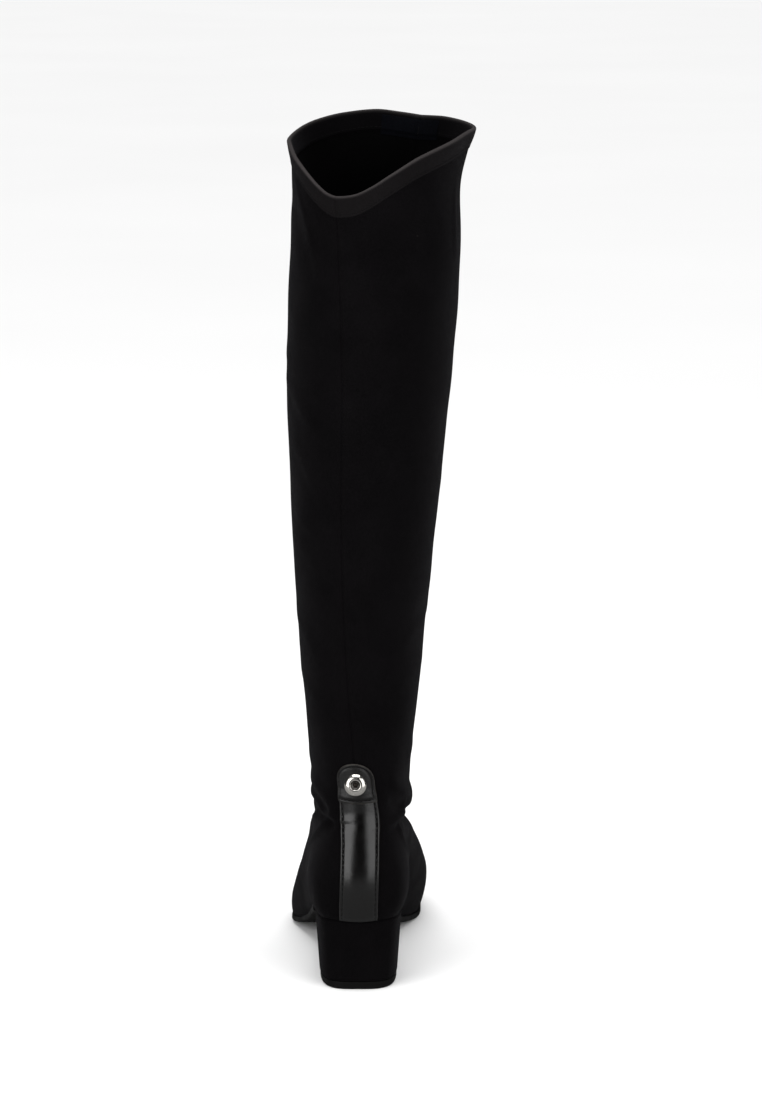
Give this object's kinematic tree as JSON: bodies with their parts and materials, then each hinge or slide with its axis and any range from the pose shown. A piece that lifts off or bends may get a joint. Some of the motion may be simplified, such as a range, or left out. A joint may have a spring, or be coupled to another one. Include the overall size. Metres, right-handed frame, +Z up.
{
  "type": "knee-high boot",
  "caption": "Knee-high stretch boot for the left foot, with a covered block heel, a leather back strip and tab, and a round metal stud.",
  "frame": {"origin": "on the floor, at the middle of the heel's top lift", "axes": "+Z up the shaft, +Y from heel to toe, +X towards the inner side of the foot"},
  "size_m": [0.1095, 0.2598, 0.504],
  "materials": {
    "stretch_cloth": "matt black stretch cloth",
    "heel_cover": "the same cloth, pasted over the heel block",
    "sole_rubber": "satin black",
    "lift_rubber": "satin dark grey",
    "insole_cloth": "matt black",
    "glossy_leather": "glossy black",
    "tab_leather": "semi-matt black",
    "stud_metal": "polished, silver-coloured"
  },
  "bodies": {
    "root": {"upper": "stretch_cloth", "heel": "heel_cover", "outsole": "sole_rubber", "top_lift": "lift_rubber", "insole": "insole_cloth", "back_strip": "glossy_leather", "back_tab": "tab_leather", "stud": "stud_metal"}
  },
  "joints": []
}
